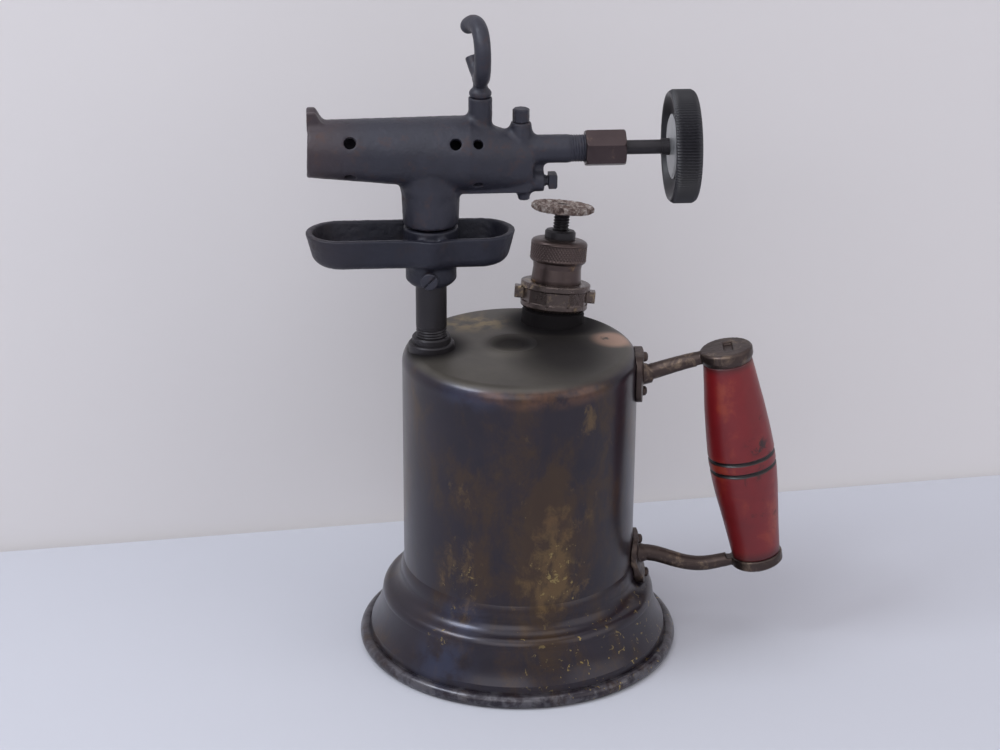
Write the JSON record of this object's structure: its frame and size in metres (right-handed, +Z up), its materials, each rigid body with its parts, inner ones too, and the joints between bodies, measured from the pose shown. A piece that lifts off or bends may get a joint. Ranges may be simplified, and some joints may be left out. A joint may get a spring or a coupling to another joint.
{
  "type": "gasoline blow torch",
  "caption": "Old gasoline blow torch: brass fuel tank with a stepped base, hand pump, red wooden side handle, iron drip pan and cast burner with a needle valve and hand wheel.",
  "frame": {"origin": "on the tank axis, in the plane that the base ring stands on", "axes": "+Z up; +X from the burner mouth towards the hand wheel; the side handle is 4.7 degrees round from +X towards -Y"},
  "size_m": [0.2157, 0.1462, 0.2932],
  "materials": {
    "tank_brass": "old brass sheet under dark brown and blue-black patina, semi-gloss",
    "dark_fitting": "blackened steel pipe and fittings, satin",
    "burner_iron": "matte black heat-scaled cast iron",
    "bronze_nut": "brown bronze, worn satin",
    "worn_brass": "bare worn brass, dull polish",
    "pump_bronze": "brown-black bronze with knurling",
    "handle_bronze": "grey-brown cast bronze",
    "red_wood": "red lacquered turned hardwood, glossy, worn",
    "black_wheel": "black moulded composition, ribbed rim",
    "pale_metal": "dull grey metal disc",
    "corroded_zinc": "corroded whitish tan cast zinc",
    "steel": "plain steel",
    "leather": "oiled leather",
    "packing": "graphited cord packing",
    "wick_cotton": "braided cotton",
    "gasket": "dark fibre gasket"
  },
  "bodies": {
    "tank": {"tank_shell": "tank_brass", "base_skirt": "tank_brass", "base_rim_wire": "steel", "tank_bottom": "worn_brass", "filler_bushing": "worn_brass", "post_bushing": "dark_fitting", "post_pipe": "dark_fitting", "fuel_tube": "worn_brass", "wick": "wick_cotton", "burner_casting": "burner_iron", "jet_orifice": "worn_brass", "top_cleanout_plug": "burner_iron", "rear_cleanout_plug": "burner_iron", "bottom_plug": "burner_iron", "valve_packing": "packing", "packing_gland": "worn_brass", "packing_nut": "bronze_nut", "iron_hook": "burner_iron", "pump_boss": "tank_brass", "pump_gasket": "gasket", "pump_union_nut": "worn_brass", "pump_head": "pump_bronze", "pump_barrel": "worn_brass", "pump_cap": "pump_bronze", "pump_collar": "dark_fitting", "check_valve_body": "worn_brass", "upper_handle_bracket": "handle_bronze", "lower_handle_bracket": "handle_bronze", "bracket_rivets": "handle_bronze", "wood_handle": "red_wood", "handle_bolt": "steel"},
    "filler_gasket_body": {"filler_gasket": "gasket"},
    "filler_plug_body": {"filler_plug": "worn_brass"},
    "pan": {"drip_pan": "burner_iron"},
    "pan_screw": {"pan_set_screw": "burner_iron"},
    "needle": {"valve_needle": "steel"},
    "valve_spindle": {"valve_stem": "dark_fitting", "valve_wheel": "black_wheel", "wheel_disc": "pale_metal", "wheel_nut": "steel"},
    "piston": {"leather_cup": "leather", "piston_washers": "worn_brass", "piston_spacer": "worn_brass"},
    "pump_spindle": {"pump_rod": "dark_fitting", "pump_wheel": "corroded_zinc", "piston_nut": "worn_brass"},
    "check_ball_body": {"check_ball": "steel", "check_spring": "steel"}
  },
  "joints": [
    {"name": "needle_feed", "type": "slide", "parent": "tank", "child": "needle", "axis": [1, 0, 0], "range_m": [0, 0.002]},
    {"name": "valve_wheel_turn", "type": "hinge", "parent": "needle", "child": "valve_spindle", "pos_m": [0.05, 0, 0.2345], "axis": [1, 0, 0], "range_deg": [0, 730]},
    {"name": "pump_stroke", "type": "slide", "parent": "tank", "child": "piston", "axis": [0.094, 0.1601, 0.9826], "range_m": [-0.0055, 0.062]},
    {"name": "pump_wheel_turn", "type": "hinge", "parent": "piston", "child": "pump_spindle", "pos_m": [0.022, 0.03751, 0.19213], "axis": [0.094, 0.1601, 0.9826], "continuous": true},
    {"name": "check_ball_lift", "type": "slide", "parent": "tank", "child": "check_ball_body", "axis": [-0.094, -0.1601, -0.9826], "range_m": [0, 0.001], "stiffness_N_per_m": 40, "springref_m": -0.0005, "deforming": ["check_spring"]},
    {"name": "pan_slide", "type": "slide", "parent": "tank", "child": "pan", "axis": [0, 0, 1], "range_m": [-0.02, 0]},
    {"name": "pan_screw_out", "type": "slide", "parent": "pan", "child": "pan_screw", "axis": [-0.1045, -0.9945, 0], "range_m": [0, 0.002]},
    {"name": "filler_drop", "type": "slide", "parent": "tank", "child": "filler_gasket_body", "axis": [0, 0, -1], "range_m": [0, 0.00508]},
    {"name": "filler_plug_turn", "type": "hinge", "parent": "filler_gasket_body", "child": "filler_plug_body", "pos_m": [0, 0, 0.04], "axis": [0, 0, -1], "range_deg": [0, 1467]}
  ],
  "couplings": [
    {"joint": "valve_wheel_turn", "follows": "needle_feed", "rad_per_m": 6283.2},
    {"joint": "filler_plug_turn", "follows": "filler_drop", "rad_per_m": 4947.4}
  ]
}
